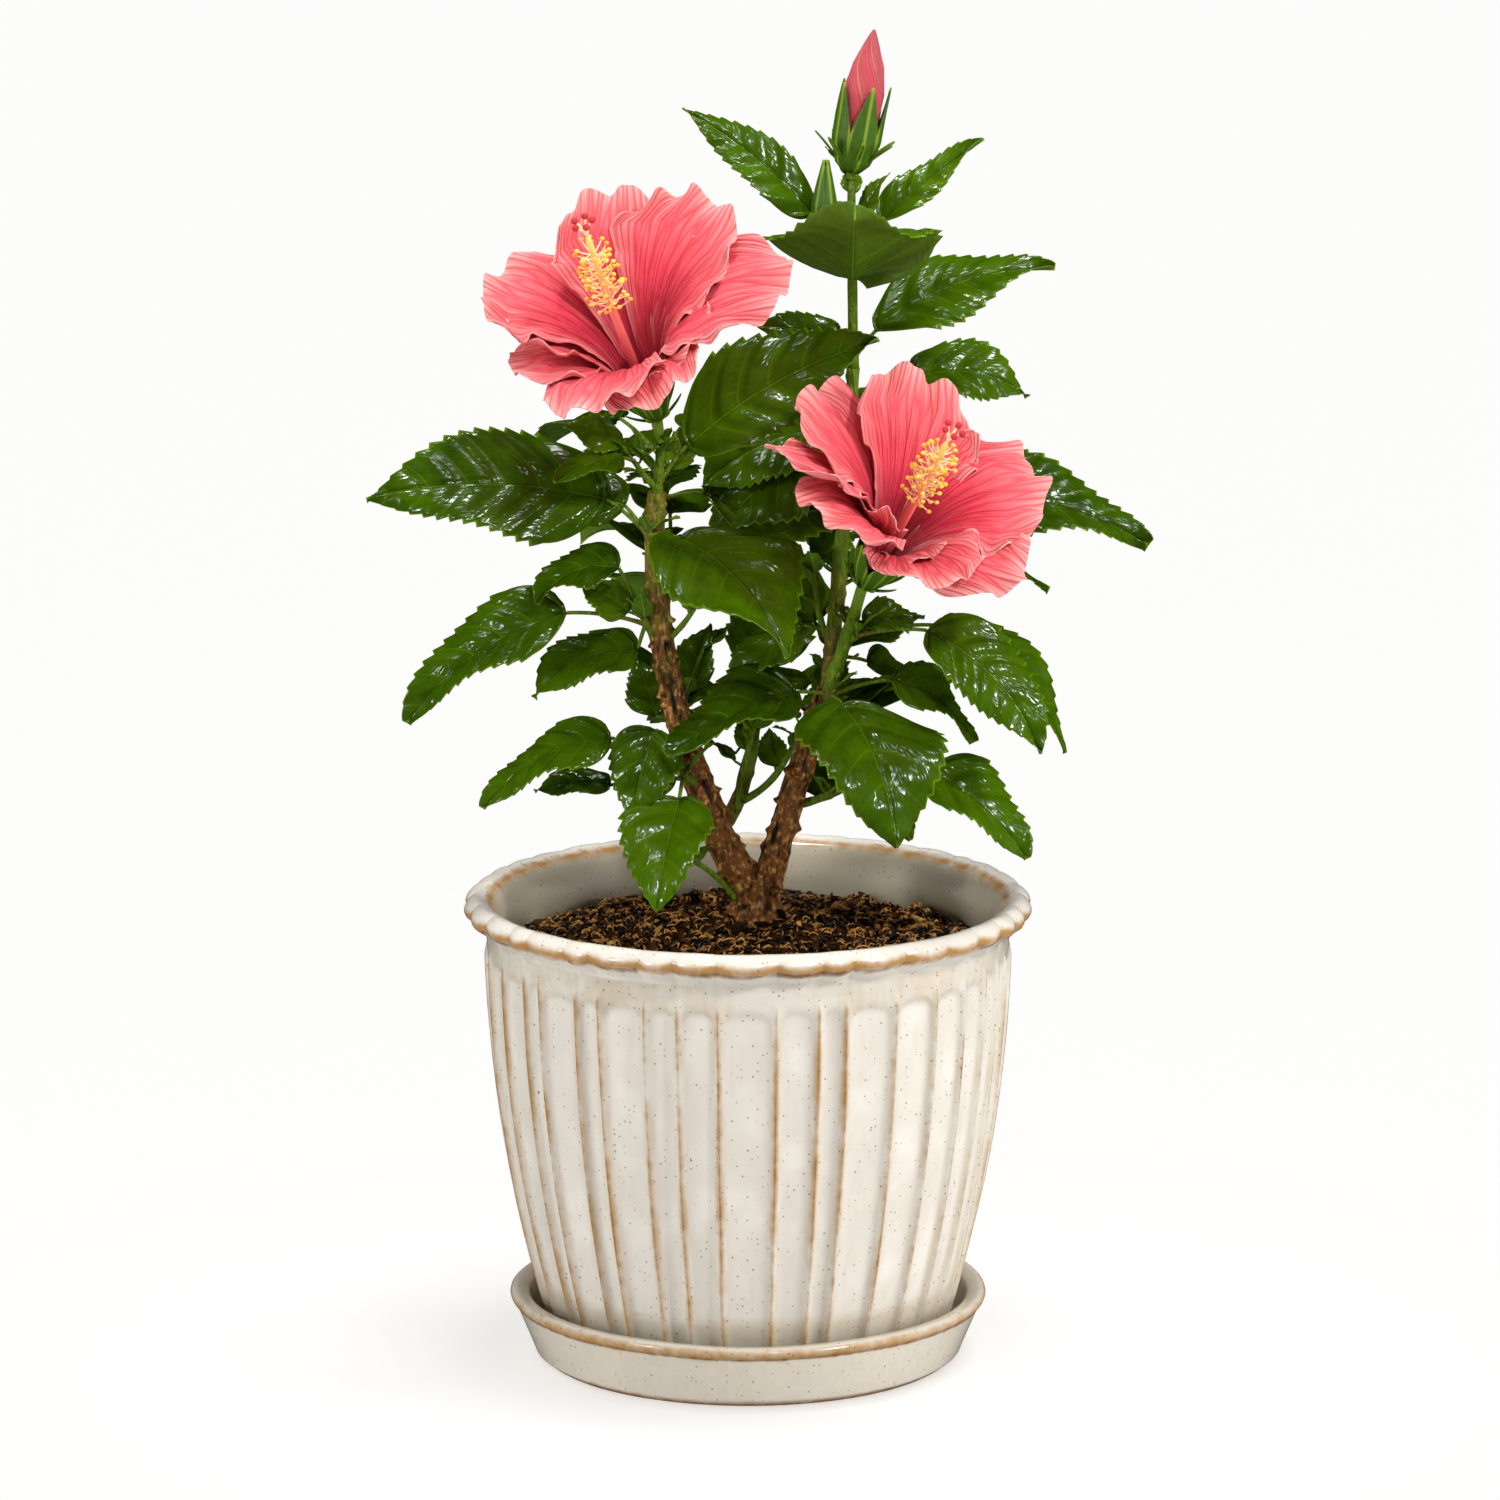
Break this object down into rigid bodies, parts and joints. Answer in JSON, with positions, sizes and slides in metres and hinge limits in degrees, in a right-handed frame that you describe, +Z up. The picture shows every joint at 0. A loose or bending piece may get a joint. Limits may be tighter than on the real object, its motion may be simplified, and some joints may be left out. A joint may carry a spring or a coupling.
{
  "type": "potted hibiscus shrub",
  "caption": "Flowering hibiscus shrub with spaced toothed leaves, open coral blooms and a bud, in a fluted glazed pot of soil on a matching saucer.",
  "frame": {"origin": "centre of the saucer's flat underside, on the pot's axis", "axes": "+Z up, -Y towards the front, the side that the blooms turn to, +X to the right seen from the front"},
  "size_m": [0.2982, 0.2182, 0.5134],
  "materials": {
    "glazed_stoneware": "speckled cream gloss glaze over stoneware, breaking to tan on the ridges",
    "soil": "loose bark and coir potting soil",
    "bark": "grey-brown bark with leaf scars",
    "green_stem": "young green bark",
    "leaf": "glossy dark green leaf",
    "petal": "coral pink petals with a deep red throat"
  },
  "bodies": {
    "root": {"saucer": "glazed_stoneware", "pot": "glazed_stoneware", "soil": "soil", "trunk": "bark", "bough_left": "bark", "bough_right": "bark", "bough_middle": "bark", "leader": "bark", "shoot_right": "green_stem", "leaves_low_left": "leaf", "leaves_mid_left": "leaf", "leaves_shoulder_left": "leaf", "leaves_crown_left": "leaf", "leaves_inner_left": "leaf", "leaves_middle": "leaf", "leaves_low_right": "leaf", "leaves_mid_right": "leaf", "leaves_right_node": "leaf", "leaves_shoulder_right": "leaf", "leaves_behind_bloom": "leaf", "leaves_leader_right": "leaf", "leaves_top": "leaf", "leaves_back_low_left": "leaf", "leaves_back_left": "leaf", "leaves_back_crown": "leaf", "leaves_back_low_right": "leaf", "leaves_back_right": "leaf", "leaves_back_leader": "leaf", "bloom_left": "petal", "bloom_right": "petal", "bud_top": "petal"}
  },
  "joints": []
}
